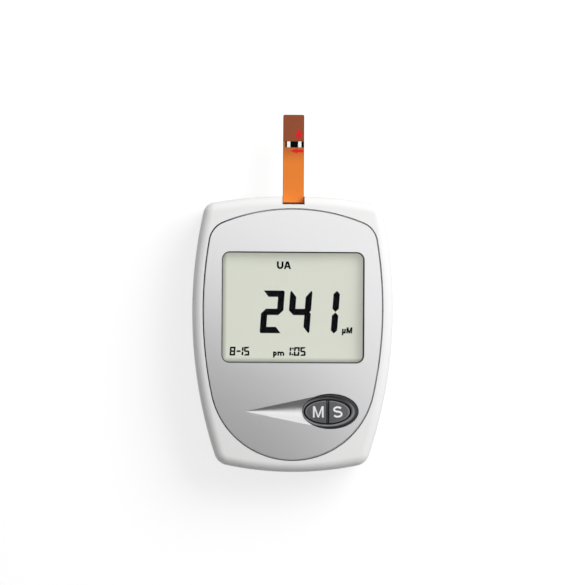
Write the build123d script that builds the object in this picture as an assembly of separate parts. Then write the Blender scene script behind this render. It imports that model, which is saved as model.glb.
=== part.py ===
from build123d import *
import os
from math import acos, atan2, cos, degrees, hypot, sin, sqrt

# Hand-held blood glucose meter lying on its back, with a test strip in its port.
# Millimetres: +X to the right and +Y towards the strip as the display is read, +Z out of the
# display. The origin is the centre of the flat back, so the case stands on z = 0.

# ---------------------------------------------------------------------------------------
# Driving dimensions
# ---------------------------------------------------------------------------------------

# Case outline: four shallow arcs with rounded corners, widest above the middle
case_width = 64.0
case_length = 88.0
case_depth = 22.0
widest_y = 7.4
side_radius = 147.0
top_radius = 150.0
bottom_radius = 103.0
top_corner_radius = 4.0
bottom_corner_radius = 5.0

# Case shells
wall = 1.8
split_z = 9.5                   # where the two shells meet
split_gap = 0.2                 # shadow line between them
lap_height = 1.2                # tongue of the front shell inside the rear one
lap_gap = 0.1
rear_draft = 2.5                # degrees
rim_round = 3.2                 # rolled rim of the front shell
back_round = 3.0
crown_radius_across = 450.0
crown_radius_along = 600.0

# Silver panel set in the front shell
panel_side_margin = 3.6         # from the widest part of the case
panel_top_margin = 4.3
panel_bottom_margin = 4.0
panel_widest_y = 8.0
panel_side_radius = 131.0
panel_top_radius = 59.0
panel_corner_radius = 7.0
panel_thickness = 1.2
panel_seam = 0.4
panel_edge_round = 0.25
panel_seat = 1.3                # wall of the front shell behind the panel
bond = 0.05                     # adhesive under bonded pieces

# Window, lens and display
window_width = 45.5
window_height = 35.5
window_setback = 35.5           # middle of the window from the top of the case
window_corner = 2.6
lens_margin = 2.0
lens_thickness = 1.2
lens_gap = 0.15
gasket_width = 2.2
gasket_show = 0.35              # of the gasket inside the edge of the window
gasket_crush = 0.3              # thinnest height of the foam gasket
glass_width = 49.0
glass_height = 40.0
glass_thickness = 0.7           # each of the two plates
glass_step = 1.5                # contact ledge of the rear plate
reflector_thickness = 0.1
frame_wall = 1.2
frame_gap = 0.2
frame_ledge = 0.8
zebra_width = 1.2

# Teardrop scoop, collar and key pair
collar_margin = 7.5             # from the widest part of the panel
collar_y = -24.5
collar_half_length = 8.8
collar_half_width = 5.45
collar_rise = 0.2               # above the panel
collar_round = 0.55
collar_bevel = 0.8
collar_gap = 0.2
scoop_tip_margin = 13.4         # from the widest part of the panel
scoop_tip_y = -24.6
scoop_depth = 2.0               # of the valley between the two tangent points
scoop_valley_round = 8.0
scoop_wall = 0.9
keys_shift_x = 0.95             # of the key pair from the middle of the collar
keys_shift_y = 0.15
keys_half_length = 7.15
keys_half_width = 3.6
key_slot = 0.45                 # black gap round the pair
key_divider = 0.8
key_web_gap = 0.2               # beside the collar's web between the keys
key_web_drop = 0.6              # below the panel
key_rise = 0.65                 # above the panel
key_dome_radius = 40.0
key_corner = 0.45
key_edge_round = 0.35
key_travel = 0.5
flange_overlap = 0.65
flange_trim = 1.4               # flats at the two ends of the flange
flange_thickness = 0.8
flange_gap = 0.1
well_gap = 0.35

# Tact switches
switch_size = 4.4
switch_height = 2.4
switch_spacing = 7.1
plunger_diameter = 2.2
plunger_fit = 0.05
plunger_depth = 1.2             # of the plunger inside the switch

# Main board and what it carries
board_thickness = 1.2
board_gap = 0.5
board_pad = 0.2                 # stand-off on the roof of the battery bay
pad_diameter = 3.0
pad_reach = 3.0                 # pad centre from the edges of the roof
buzzer_diameter = 12.0
buzzer_height = 3.2
buzzer_x = -15.0
buzzer_y = 13.0
chip_column = 14.0              # x of the two columns of packages
controller_size = 12.0
controller_height = 1.6
controller_y = 14.0
small_chip_width = 4.0
small_chip_height = 1.5
small_chip_y = 29.0
memory_length = 5.0
amplifier_length = 8.6
crystal_length = 8.0
crystal_width = 3.2
crystal_height = 2.4
crystal_y = 3.6
capacitor_length = 1.6
capacitor_width = 2.6
capacitor_height = 1.2
capacitor_x = -20.0
capacitor_y = 3.0
capacitor_pitch = 3.0
capacitor_count = 4

# Cells, bay and contacts
cell_diameter = 10.5
cell_length = 44.5
cell_nub_diameter = 3.8
cell_nub_length = 1.0
cell_base_diameter = 9.4
cell_base_thickness = 0.2
cell_edge_round = 0.6
cell_pitch = 11.4
cell_side_gap = 0.45
cell_door_gap = 0.3
cell_roof_gap = 0.2
bay_y = -16.2
bay_wall = 1.0
leaf_room = 2.8                 # at the flat end of each cell
stud_room = 0.7                 # at the nub end of each cell
contact_thickness = 0.3
contact_touch = 0.02
contact_width = 8.0
contact_height = 8.0
leaf_width = 4.0
stud_diameter = 3.0

# Battery door
door_thickness = 1.5
door_inset = 0.1                # outer face above the back
door_gap = 0.3
door_margin = 1.2               # overlap on the ledge round the opening
door_lip = 1.2                  # opening shorter than the bay at each end
door_ledge = 1.2
door_corner = 2.0
door_rib_length = 40.0
door_rib_height = 1.4
door_rib_width = 0.7
hook_x = 14.0
hook_width = 5.6
hook_stem = 1.0
hook_setback = 0.5              # stem behind the hinge line
hook_reach = 1.25
hook_thickness = 0.8
hook_gap = 0.2
hook_side_gap = 0.3
hook_headroom = 0.8
latch_width = 9.0
latch_leg = 0.8
latch_bend = 0.6
latch_setback = 0.4
latch_height = 4.5
latch_nose = 0.3
latch_nose_z = 2.6
latch_nose_height = 0.7
latch_gap = 0.15
grip_count = 5
grip_pitch = 1.3
grip_width = 0.6
grip_depth = 0.4
grip_length = 14.0
grip_setback = 2.2
thumb_radius = 9.0
thumb_depth = 1.6
thumb_wall = 1.2

# Code key and its socket
code_y = 24.0
code_width = 12.4
code_height = 9.4
code_depth = 3.5
code_inset = 0.2
code_corner = 1.2
code_gap = 0.3
code_wall = 1.2
code_grip_count = 3
tongue_width = 8.4
tongue_thickness = 1.0
tongue_seat = 2.0               # depth of the tongue in the key
tongue_engagement = 3.5
socket_width = 11.4
socket_height = 4.4
socket_depth = 5.0
socket_floor = 1.0
finger_radius = 6.0
finger_depth = 1.2
finger_reach = 2.4

# Screws
screw_top_side = 8.0            # from the widest part of the case
screw_top_margin = 6.6          # from the top edge above the screw
screw_low_side = 14.0
screw_low_margin = 5.4          # from the bottom edge below the screw
screw_diameter = 2.2
screw_length = 9.0
screw_head_diameter = 4.2
screw_head_height = 1.6
screw_head_round = 0.5
screw_recess = 0.8
screw_clearance = 0.15
screw_thread_gap = 0.05
boss_wall = 1.0
well_seat = 2.9                 # plastic under the screw head
boss_shoulder = 0.9
boss_foot_diameter = 4.8

# Test strip and its port
strip_width = 6.7
strip_reach = 26.0              # beyond the top of the case
strip_rest = 0.1                # between its end and the stop in the port
strip_base_thickness = 0.35
strip_film_thickness = 0.15
strip_ink = 0.08
strip_side_gap = 0.2
strip_row_setback = 9.45        # reaction window, from the outer end
strip_row_height = 1.9
strip_row_margin = 0.75         # from the left edge to the first field
dark_field = 0.5
white_field = 1.05
middle_field = 2.5
strip_corner = 0.5
strip_tracks = 4
strip_track_width = 0.8
strip_track_length = 6.0
notch_depth = 2.7
slot_under = 0.1
slot_over = 0.2
port_width = 11.2
port_setback = 12.5             # inner end of the port from the top of the case
port_length = 7.9
port_floor = 1.2
port_roof = 0.8
port_stop = 0.2
mouth_gap = 0.2
mouth_wall = 1.6
finger_count = 5
finger_pitch = 1.2
finger_width = 0.6
finger_thickness = 0.16
finger_length = 5.5
finger_foot = 0.6

# ---------------------------------------------------------------------------------------
# Derived sizes
# ---------------------------------------------------------------------------------------

over = 1.0                      # how far a cutting tool runs past the face that it opens

panel_width = case_width - 2 * panel_side_margin
panel_top_y = case_length / 2 - panel_top_margin
panel_bottom_y = panel_bottom_margin - case_length / 2
window_y = case_length / 2 - window_setback

collar_x = panel_width / 2 - collar_margin - collar_half_length
keys_x = collar_x - keys_shift_x
keys_y = collar_y - keys_shift_y
scoop_tip_x = scoop_tip_margin - panel_width / 2

cell_z = door_inset + door_thickness + cell_door_gap + cell_diameter / 2
bay_top = cell_z + cell_diameter / 2 + cell_roof_gap
bay_roof = bay_top + bay_wall
bay_half_length = (cell_length + leaf_room + stud_room) / 2
bay_half_width = (cell_pitch + cell_diameter) / 2 + cell_side_gap
bay_low_y = bay_y - bay_half_width
bay_high_y = bay_y + bay_half_width
cell_shift = (leaf_room - stud_room) / 2

board_z = bay_roof + board_pad
board_top = board_z + board_thickness

seat_depth = panel_thickness + bond
lens_floor = seat_depth + lens_thickness
ceiling_depth = seat_depth + panel_seat

door_half_length = bay_half_length - door_lip + door_margin
door_low_y = bay_low_y - door_margin
door_high_y = bay_high_y + door_margin
hinge_y = door_high_y + door_gap / 2
hinge_z = door_inset
ledge_z = door_inset + door_thickness + slot_under
frame_z = ledge_z + door_ledge
hook_low = wall + hook_gap
pocket_top = hook_low + hook_thickness + hook_headroom
latch_near_y = door_low_y - latch_setback
latch_far_y = latch_near_y - 2 * (latch_leg + latch_bend)
latch_arch_y = (latch_near_y + latch_far_y) / 2
latch_arch_z = latch_height
latch_nose_y = latch_far_y - latch_nose
nose_swing = hypot(latch_nose_y - hinge_y, latch_nose_z + latch_nose_height / 2 - hinge_z)
arch_swing = hypot(latch_arch_y - hinge_y, latch_arch_z - hinge_z) + latch_leg + latch_bend
catch_y = hinge_y - max(nose_swing, arch_swing) - latch_gap

code_floor = code_inset + code_depth + code_inset
socket_z = board_z - socket_depth
tongue_top = socket_z + tongue_engagement

head_well = screw_head_diameter + 2 * screw_clearance
boss_diameter = head_well + 2 * boss_wall
seat_z = split_z - well_seat
screw_top_x = case_width / 2 - screw_top_side
screw_low_x = case_width / 2 - screw_low_side
screw_top_y = case_length / 2 - top_radius + sqrt(top_radius**2 - screw_top_x**2) - screw_top_margin
screw_low_y = bottom_radius - case_length / 2 - sqrt(bottom_radius**2 - screw_low_x**2) + screw_low_margin
screw_points = [
    (side * x, y)
    for x, y in ((screw_top_x, screw_top_y), (screw_low_x, screw_low_y))
    for side in (-1, 1)
]

strip_z = board_top + port_floor + slot_under
strip_face_z = strip_z + strip_base_thickness
slot_low = strip_z - slot_under
slot_high = strip_face_z + strip_film_thickness + slot_over
slot_half_width = strip_width / 2 + strip_side_gap
port_top = slot_high + port_roof
port_y = case_length / 2 - port_setback
port_end_y = port_y + port_length
notch_y = case_length / 2 - notch_depth
strip_top_y = case_length / 2 + strip_reach
strip_inner_y = port_y + port_stop + strip_rest
strip_row_y = strip_top_y - strip_row_setback


def crown_height(x, y, depth=0.0):
    """Height of the crowned front over a plan point, or of the surface that far below it."""
    radius = crown_radius_across - depth
    across = case_depth - depth - radius + sqrt(radius**2 - x**2)
    axis_z = case_depth - crown_radius_along
    return axis_z + sqrt((across - axis_z) ** 2 - y**2)


lens_corner_x = window_width / 2 + lens_margin
lens_corner_y = window_y + window_height / 2 + lens_margin
glass_top = crown_height(lens_corner_x, lens_corner_y, lens_floor) - gasket_crush
glass_z = glass_top - 2 * glass_thickness

panel_at_keys = crown_height(collar_x, collar_y)
collar_seat = panel_at_keys - seat_depth - bond
flange_top = collar_seat - flange_gap
flange_bottom = flange_top - flange_thickness
key_top = panel_at_keys + key_rise
hole_half_length = keys_half_length + key_slot
hole_half_width = keys_half_width + key_slot
flange_half_length = hole_half_length + flange_overlap
flange_half_width = hole_half_width + flange_overlap

# ---------------------------------------------------------------------------------------
# Plan outlines
# ---------------------------------------------------------------------------------------


def disc(x, y, radius):
    """Disc turned so that its seam lies clear of the outlines that it bounds."""
    return Pos(x, y) * Rot(0, 0, 45) * Circle(radius)


def case_outline(inset=0.0):
    """Outline of the case, moved inwards by the inset."""
    side_x = side_radius - case_width / 2
    shape = disc(-side_x, widest_y, side_radius - inset) & disc(side_x, widest_y, side_radius - inset)
    shape &= disc(0, case_length / 2 - top_radius, top_radius - inset)
    shape &= disc(0, bottom_radius - case_length / 2, bottom_radius - inset)
    shape = fillet(shape.vertices().group_by(Axis.Y)[-1], top_corner_radius - inset)
    return fillet(shape.vertices().group_by(Axis.Y)[0], bottom_corner_radius - inset)


def panel_outline(inset=0.0):
    """Outline of the silver panel: its round lower end runs tangent into its sides."""
    side_x = panel_side_radius - panel_width / 2
    reach = panel_side_radius + panel_bottom_y
    end_y = (reach**2 - side_x**2 - panel_widest_y**2) / (2 * (reach - panel_widest_y))
    end_radius = end_y - panel_bottom_y
    lean = (end_y - panel_widest_y) / (panel_side_radius - end_radius)
    tangent_y = end_y + (end_radius - inset) * lean

    radius = panel_side_radius - inset
    sides = disc(-side_x, panel_widest_y, radius) & disc(side_x, panel_widest_y, radius)
    top = disc(0, panel_top_y - panel_top_radius, panel_top_radius - inset)
    above = Pos(0, tangent_y + case_length / 2) * Rectangle(case_width, case_length)
    below = Pos(0, tangent_y - case_length / 2) * Rectangle(case_width, case_length)
    shape = (sides & top & above) + (disc(0, end_y, end_radius - inset) & below)
    return fillet(shape.vertices().group_by(Axis.Y)[-1], panel_corner_radius - inset)


def window_outline(grow=0.0):
    """Outline of the window, grown on every side."""
    width = window_width + 2 * grow
    height = window_height + 2 * grow
    return Pos(0, window_y) * RectangleRounded(width, height, window_corner + grow)


def oval(x, y, half_length, half_width):
    return Pos(x, y) * Ellipse(half_length, half_width)


def collar_outline(grow=0.0):
    """Outline of the collar, grown on every side."""
    return oval(collar_x, collar_y, collar_half_length + grow, collar_half_width + grow)


# ---------------------------------------------------------------------------------------
# Solid helpers
# ---------------------------------------------------------------------------------------


def prism(plan, low, high):
    """Upright solid on a plan outline."""
    return extrude(Pos(0, 0, low) * plan, high - low)


def block(x0, x1, y0, y1, z0, z1):
    """Box between two opposite corners."""
    return Pos((x0 + x1) / 2, (y0 + y1) / 2, (z0 + z1) / 2) * Box(x1 - x0, y1 - y0, z1 - z0)


def post(x, y, diameter, low, high):
    """Upright cylinder."""
    return prism(Pos(x, y) * Circle(diameter / 2), low, high)


def rod(x0, x1, y, z, diameter):
    """Cylinder that lies along X."""
    return Pos(x0, y, z) * extrude(Plane.YZ * Circle(diameter / 2), x1 - x0)


def crown(depth=0.0):
    """Everything under the crowned front, or under a surface that far below it."""
    radius = crown_radius_across - depth
    top = case_depth - depth
    half = case_width / 2 + over
    edge = top - radius + sqrt(radius**2 - half**2)
    outline = ThreePointArc((-half, edge), (0, top), (half, edge))
    outline += Polyline((half, edge), (half, 0), (-half, 0), (-half, edge))
    axis = Axis((0, 0, case_depth - crown_radius_along), (1, 0, 0))
    swing = degrees((case_length / 2 + over) / (crown_radius_along - case_depth))
    section = (Plane.XZ * make_face(outline)).rotate(axis, -swing)
    return revolve(section, axis, 2 * swing)


def finger_ball(x, y, radius, depth, grow=0.0):
    """Ball that leaves a shallow thumb hollow in the back, grown for the wall behind the hollow."""
    return Pos(x, y, depth - radius) * Sphere(radius + grow)


# ---------------------------------------------------------------------------------------
# Case
# ---------------------------------------------------------------------------------------


def front_form():
    """Outside of the front shell: crowned, with a rolled rim."""
    form = prism(case_outline(), split_z + split_gap / 2, case_depth + over) & crown()
    return fillet(form.faces().sort_by(Axis.Z)[-1].edges(), rim_round)


def rear_form():
    """Outside of the rear shell: drafted, with a rounded back edge."""
    height = split_z - split_gap / 2
    form = Pos(0, 0, height) * Rot(0, 180, 0) * extrude(case_outline(), height, taper=rear_draft)
    return fillet(form.faces().sort_by(Axis.Z)[0].edges(), back_round)


def scoop():
    """Cutter for the teardrop: a blunt V that widens from its tip to the tangents of the collar."""
    across = (scoop_tip_x - collar_x) / collar_half_length
    along = (scoop_tip_y - collar_y) / collar_half_width
    heading = atan2(along, across)
    swing = acos(1 / hypot(across, along))
    ends = [
        Vector(
            collar_x + collar_half_length * cos(heading + turn),
            collar_y + collar_half_width * sin(heading + turn),
            panel_at_keys,
        )
        for turn in (-swing, swing)
    ]
    ends.sort(key=lambda end: end.Y)
    middle = (ends[0] + ends[1]) / 2
    half = (ends[1] - ends[0]).length / 2
    tip_z = crown_height(scoop_tip_x, scoop_tip_y)

    valley = Polyline((-half, over), (-half, 0), (0, -scoop_depth), (half, 0), (half, over), close=True)
    section = make_face(valley)
    section = fillet(section.vertices().sort_by(Axis.Y)[0], scoop_valley_round)
    upright = Plane(middle, x_dir=ends[1] - ends[0], z_dir=(ends[1] - ends[0]).cross(Vector(0, 0, 1)))
    return loft([Vertex(scoop_tip_x, scoop_tip_y, tip_z), upright * section], ruled=True)


def strip_mouth():
    """Block inside the top end of the front shell that the strip passes through."""
    half = slot_half_width + mouth_wall
    mouth = block(-half, half, port_end_y + mouth_gap, case_length / 2, board_top + mouth_gap, case_depth)
    return mouth & crown(seat_depth) & prism(case_outline(wall / 2), 0, case_depth)


def front_bosses():
    """Screw posts: wide above the main board, which they clamp, and slim where they pass it."""
    bosses = Part()
    for x, y in screw_points:
        bosses += post(x, y, boss_foot_diameter + 2 * boss_shoulder, board_top, case_depth)
        bosses += post(x, y, boss_foot_diameter, split_z, case_depth)
    return bosses & crown(seat_depth) & prism(case_outline(wall / 2), 0, case_depth)


def front_housing():
    """White front shell."""
    base = split_z + split_gap / 2
    shell = front_form() - (prism(case_outline(wall), base - over, case_depth) & crown(ceiling_depth))
    lap = case_outline(wall / 2 + lap_gap) - case_outline(wall)
    shell += prism(lap, split_z - lap_height, base)
    shell += front_bosses() + strip_mouth()

    above_seat = prism(panel_outline(-panel_seam), split_z, case_depth + over) - crown(seat_depth)
    shell -= above_seat
    shell -= prism(window_outline(lens_margin + lens_gap), board_top, case_depth)
    shell -= prism(collar_outline(collar_gap), collar_seat, case_depth)
    well = oval(keys_x, keys_y, flange_half_length + well_gap, flange_half_width + well_gap)
    shell -= prism(well, board_top + over, case_depth)
    shell -= Pos(0, 0, -scoop_wall - well_gap) * scoop()

    half = slot_half_width
    shell -= block(-half, half, notch_y, case_length, slot_low, case_depth + over)
    shell -= block(-half, half, port_end_y, notch_y, slot_low, slot_high)
    bore = screw_diameter + 2 * screw_thread_gap
    for x, y in screw_points:
        shell -= post(x, y, bore, split_z - over, seat_z + screw_length + over)
    return shell


def door_frame():
    """Thickened floor round the battery opening, which carries the ledge of the door."""
    border = door_gap + door_ledge
    return block(-door_half_length - border, door_half_length + border,
                 door_low_y - border, door_high_y + border, 0, frame_z)


def battery_bay():
    """Walls and roof of the battery bay, with pads for the main board."""
    half = bay_half_length + bay_wall
    low, high = bay_low_y - bay_wall, bay_high_y + bay_wall
    bay = block(-half, half, low, high, 0, bay_roof)
    for x in (pad_reach - half, half - pad_reach):
        for y in (low + pad_reach, high - pad_reach):
            bay += post(x, y, pad_diameter, bay_roof, board_z)
    return bay


def bay_cuts():
    """Cell space, door opening, door recess, hook pockets and latch opening."""
    opening = bay_half_length - door_lip
    recess = door_half_length + door_gap
    cuts = block(-bay_half_length, bay_half_length, bay_low_y, bay_high_y, frame_z, bay_top)
    cuts += block(-opening, opening, bay_low_y, bay_high_y, -over, frame_z)
    cuts += prism(
        Pos(0, (door_low_y + door_high_y) / 2)
        * RectangleRounded(2 * recess, door_high_y - door_low_y + 2 * door_gap, door_corner + door_gap),
        -over, ledge_z,
    )
    lip_y = door_high_y + door_gap
    for side in (-1, 1):
        x0 = side * hook_x - hook_width / 2 - hook_side_gap
        x1 = side * hook_x + hook_width / 2 + hook_side_gap
        cuts += block(x0, x1, bay_high_y - over, lip_y, -over, pocket_top)
        cuts += block(x0, x1, lip_y - over, hinge_y + hook_reach + hook_side_gap, wall, pocket_top)
    half = latch_width / 2 + hook_side_gap
    cuts += block(-half, half, catch_y, door_low_y, -over, frame_z + over)
    return cuts


def code_recess():
    """Outer block of the code key recess, and what is cut from it."""
    half_width = code_width / 2 + code_gap
    half_height = code_height / 2 + code_gap
    plan = Pos(0, code_y) * RectangleRounded(2 * half_width, 2 * half_height, code_corner + code_gap)
    outer = block(-half_width - code_wall, half_width + code_wall, code_y - half_height - code_wall,
                  code_y + half_height + code_wall, 0, code_floor + code_wall)
    slit_width = tongue_width / 2 + code_gap
    slit_height = tongue_thickness / 2 + code_gap
    cut = prism(plan, -over, code_floor)
    cut += block(-slit_width, slit_width, code_y - slit_height, code_y + slit_height, 0,
                 code_floor + code_wall + over)
    return outer, cut


def finger_spots():
    """Places of the thumb hollows: beside the latch and at both ends of the code key."""
    reach = code_width / 2 + finger_reach
    return [
        (0, catch_y, thumb_radius, thumb_depth),
        (-reach, code_y, finger_radius, finger_depth),
        (reach, code_y, finger_radius, finger_depth),
    ]


def rear_housing():
    """White rear shell with the battery bay, key recess and screw wells."""
    height = split_z - split_gap / 2
    form = rear_form()
    cavity = extrude(case_outline(wall), height - wall, taper=rear_draft)
    shell = form - Pos(0, 0, height) * Rot(0, 180, 0) * cavity
    groove = case_outline(wall / 2) - case_outline(wall + lap_gap)
    shell -= prism(groove, split_z - lap_height - lap_gap, split_z)

    recess, recess_cut = code_recess()
    shell += battery_bay() + (door_frame() & form) + recess
    for x, y in screw_points:
        shell += post(x, y, boss_diameter, wall / 2, split_z) & prism(case_outline(wall), 0, split_z)
    for x, y, radius, depth in finger_spots():
        shell += finger_ball(x, y, radius, depth, thumb_wall) & form

    shell -= bay_cuts() + recess_cut
    for x, y, radius, depth in finger_spots():
        shell -= finger_ball(x, y, radius, depth)
    for x, y in screw_points:
        shell -= post(x, y, head_well, -over, seat_z)
        shell -= post(x, y, screw_diameter + 2 * screw_clearance, 0, split_z + over)
    return shell


def case_screws():
    """Four pan-head screws, driven from the back."""
    screws = []
    for x, y in screw_points:
        screw = post(x, y, screw_head_diameter, seat_z - screw_head_height, seat_z)
        screw = fillet(screw.edges().group_by(Axis.Z)[0], screw_head_round)
        screw += post(x, y, screw_diameter, seat_z, seat_z + screw_length)
        bottom = seat_z - screw_head_height
        for turn in (0, 90):
            cross = Box(screw_head_diameter / 2, screw_recess / 2, 2 * screw_recess)
            screw -= Pos(x, y, bottom) * Rot(0, 0, turn) * cross
        screws.append(screw)
    return screws


# ---------------------------------------------------------------------------------------
# Fascia and display
# ---------------------------------------------------------------------------------------


def front_panel():
    """Silver fascia: a crowned plate with the window opening and the teardrop scoop."""
    plate = prism(panel_outline(), split_z, case_depth + over) & crown()
    plate = fillet(plate.faces().sort_by(Axis.Z)[-1].edges(), panel_edge_round)
    plate -= crown(panel_thickness)
    plate += (Pos(0, 0, -scoop_wall) * scoop()) & crown(panel_thickness / 2)
    plate -= scoop()
    plate -= prism(window_outline(), split_z, case_depth + over)
    return plate - prism(collar_outline(collar_gap), split_z, case_depth + over)


def window_lens():
    """Clear lens with the same crown, bonded behind the panel."""
    return (prism(window_outline(lens_margin), split_z, case_depth) & crown(seat_depth)) - crown(lens_floor)


def lcd_gasket():
    """Foam frame between the flat display and the crowned lens; its inner edge shows in the window."""
    ring = window_outline(gasket_width - gasket_show) - window_outline(-gasket_show)
    return prism(ring, glass_top, case_depth) & crown(lens_floor + bond)


def lcd_glass():
    """Two glass plates; the rear one is longer and carries the contact ledges."""
    half_x, half_y = glass_width / 2, glass_height / 2
    front_y = half_y - glass_step
    middle = glass_z + glass_thickness
    return [
        block(-half_x, half_x, window_y - half_y, window_y + half_y, glass_z, middle),
        block(-half_x, half_x, window_y - front_y, window_y + front_y, middle, glass_top),
    ]


def lcd_reflector():
    """Reflector sheet on the back of the display, between the connector strips."""
    half_x = glass_width / 2 - frame_ledge - frame_gap
    half_y = glass_height / 2 - glass_step - zebra_width
    return block(-half_x, half_x, window_y - half_y, window_y + half_y,
                 glass_z - reflector_thickness, glass_z)


def lcd_frame():
    """Moulded holder that locates the display on the board."""
    half_x = glass_width / 2 + frame_gap
    half_y = glass_height / 2 + frame_gap
    top = glass_top - gasket_crush
    frame = block(-half_x - frame_wall, half_x + frame_wall, window_y - half_y - frame_wall,
                  window_y + half_y + frame_wall, board_top, top)
    frame = fillet(frame.edges().filter_by(Axis.Z), frame_wall)
    frame -= block(-half_x, half_x, window_y - half_y, window_y + half_y, glass_z, case_depth)
    ledge_x = half_x - frame_ledge
    return frame - block(-ledge_x, ledge_x, window_y - half_y, window_y + half_y, 0, case_depth)


def zebra_strips():
    """Elastomer connector strips between the display's contact ledges and the board."""
    half_x = glass_width / 2 - frame_ledge - 2 * frame_gap
    reach = glass_height / 2 - frame_gap
    strips = []
    for side in (-1, 1):
        ends = sorted((window_y + side * reach, window_y + side * (reach - zebra_width)))
        strips.append(block(-half_x, half_x, ends[0], ends[1], board_top, glass_z))
    return strips


# ---------------------------------------------------------------------------------------
# Collar, keys and switches
# ---------------------------------------------------------------------------------------


def button_collar():
    """Eccentric oval surround, bevelled down towards the key pair, with a web between the keys."""
    ring = prism(collar_outline(), collar_seat, case_depth + over) & crown(-collar_rise)
    ring = fillet(ring.faces().sort_by(Axis.Z)[-1].edges(), collar_round)
    ring -= prism(oval(keys_x, keys_y, hole_half_length, hole_half_width), 0, case_depth + over)
    rim = panel_at_keys + collar_rise
    bevel = loft([
        Pos(0, 0, rim - collar_bevel) * oval(keys_x, keys_y, hole_half_length, hole_half_width),
        Pos(0, 0, rim + collar_bevel) * oval(keys_x, keys_y, hole_half_length + 2 * collar_bevel,
                                            hole_half_width + 2 * collar_bevel),
    ], ruled=True)
    web = key_divider / 2 - key_web_gap
    reach = hole_half_width + collar_bevel / 2
    return ring - bevel + block(keys_x - web, keys_x + web, keys_y - reach, keys_y + reach,
                                collar_seat, panel_at_keys - key_web_drop)


def half_oval(side, half_length, half_width):
    """Half of the oval on one side of the divider."""
    reach = 2 * half_length
    half = Pos(keys_x + side * (key_divider + reach) / 2, keys_y) * Rectangle(reach, reach)
    return oval(keys_x, keys_y, half_length, half_width) & half


def key(side):
    """One half of the key pair, with the flange that keeps it under the collar."""
    plan = half_oval(side, keys_half_length, keys_half_width)
    plan = fillet(plan.vertices().group_by(Axis.X)[0 if side > 0 else -1], key_corner)
    cap = prism(plan, flange_top, case_depth + over)
    cap &= Pos(keys_x, keys_y, key_top - key_dome_radius) * Sphere(key_dome_radius)
    cap = fillet(cap.faces().sort_by(Axis.Z)[-1].edges(), key_edge_round)
    flats = Pos(keys_x, keys_y) * Rectangle(2 * (flange_half_length - flange_trim), 2 * flange_half_width)
    flange = half_oval(side, flange_half_length, flange_half_width) & flats
    return cap + prism(flange, flange_bottom, flange_top)


def switch_x(side):
    return keys_x + side * switch_spacing / 2


def switch_bodies():
    """Housings of the two tact switches."""
    top = board_top + switch_height
    bodies = []
    for side in (-1, 1):
        x = switch_x(side)
        half = switch_size / 2
        body = block(x - half, x + half, keys_y - half, keys_y + half, board_top, top)
        floor = top - plunger_depth - key_travel - well_gap
        bodies.append(body - post(x, keys_y, plunger_diameter + 2 * plunger_fit, floor, top + over))
    return bodies


def switch_plunger(side):
    """Plunger of one switch, which its key rests on."""
    low = board_top + switch_height - plunger_depth
    return post(switch_x(side), keys_y, plunger_diameter, low, flange_bottom)


# ---------------------------------------------------------------------------------------
# Boards and electronics
# ---------------------------------------------------------------------------------------


def main_board():
    """Circuit board that follows the case, with holes for the screw posts."""
    board = prism(case_outline(wall + board_gap), board_z, board_top)
    for x, y in screw_points:
        board -= post(x, y, boss_foot_diameter + 2 * frame_gap, board_z - over, board_top + over)
    return board


def chip(x, y, width, height, depth):
    """Package on the underside of the board."""
    return block(x - width / 2, x + width / 2, y - height / 2, y + height / 2, board_z - depth, board_z)


def board_chips():
    """Controller, memory, amplifier, crystal and capacitors."""
    chips = [
        chip(chip_column, controller_y, controller_size, controller_size, controller_height),
        chip(chip_column, small_chip_y, memory_length, small_chip_width, small_chip_height),
        chip(-chip_column, small_chip_y, amplifier_length, small_chip_width, small_chip_height),
        chip(chip_column, crystal_y, crystal_length, crystal_width, crystal_height),
    ]
    for step in range(capacitor_count):
        x = capacitor_x + step * capacitor_pitch
        chips.append(chip(x, capacitor_y, capacitor_length, capacitor_width, capacitor_height))
    return chips


def buzzer():
    """Sounder can on the underside of the board."""
    can = post(buzzer_x, buzzer_y, buzzer_diameter, board_z - buzzer_height, board_z)
    return can - post(buzzer_x, buzzer_y, plunger_diameter, 0, board_z - buzzer_height / 2)


# ---------------------------------------------------------------------------------------
# Cells, contacts and door
# ---------------------------------------------------------------------------------------


def cell_y(row):
    """Row -1 is the lower cell, row 1 the upper one."""
    return bay_y + row * cell_pitch / 2


def cell_ends(row):
    """X of the flat end and of the nub's tip; the lower cell points right, the upper one left."""
    middle = -row * cell_shift
    return middle + row * cell_length / 2, middle - row * cell_length / 2


def battery(row):
    """Jacket of one cell, between its end metals."""
    flat, tip = cell_ends(row)
    low, high = sorted((flat - row * cell_base_thickness, tip + row * cell_nub_length))
    can = rod(low, high, cell_y(row), cell_z, cell_diameter)
    return fillet(can.edges().filter_by(GeomType.CIRCLE), cell_edge_round)


def battery_terminals():
    """Nub and base of both cells."""
    metals = []
    for row in (-1, 1):
        flat, tip = cell_ends(row)
        base = sorted((flat, flat - row * cell_base_thickness))
        nub = sorted((tip, tip + row * cell_nub_length))
        metals.append(rod(base[0], base[1], cell_y(row), cell_z, cell_base_diameter))
        metals.append(rod(nub[0], nub[1], cell_y(row), cell_z, cell_nub_diameter))
    return metals


def contact_plate(end, low_y, high_y):
    """Flat contact against one end wall of the bay."""
    low, high = sorted((end * bay_half_length, end * (bay_half_length - contact_thickness)))
    return block(low, high, low_y, high_y, cell_z - contact_height / 2, cell_z + contact_height / 2)


def contact_leaf(end, y):
    """Bowed leaf that presses on the flat end of a cell."""
    radius = leaf_room - contact_thickness - contact_touch
    bow = Circle(radius) - Circle(radius - contact_thickness)
    bow &= Pos(-end * radius, 0) * Rectangle(2 * radius, 2 * radius)
    face_x = end * (bay_half_length - contact_thickness)
    return Pos(face_x, y + leaf_width / 2, cell_z) * extrude(Plane.XZ * bow, leaf_width)


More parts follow.
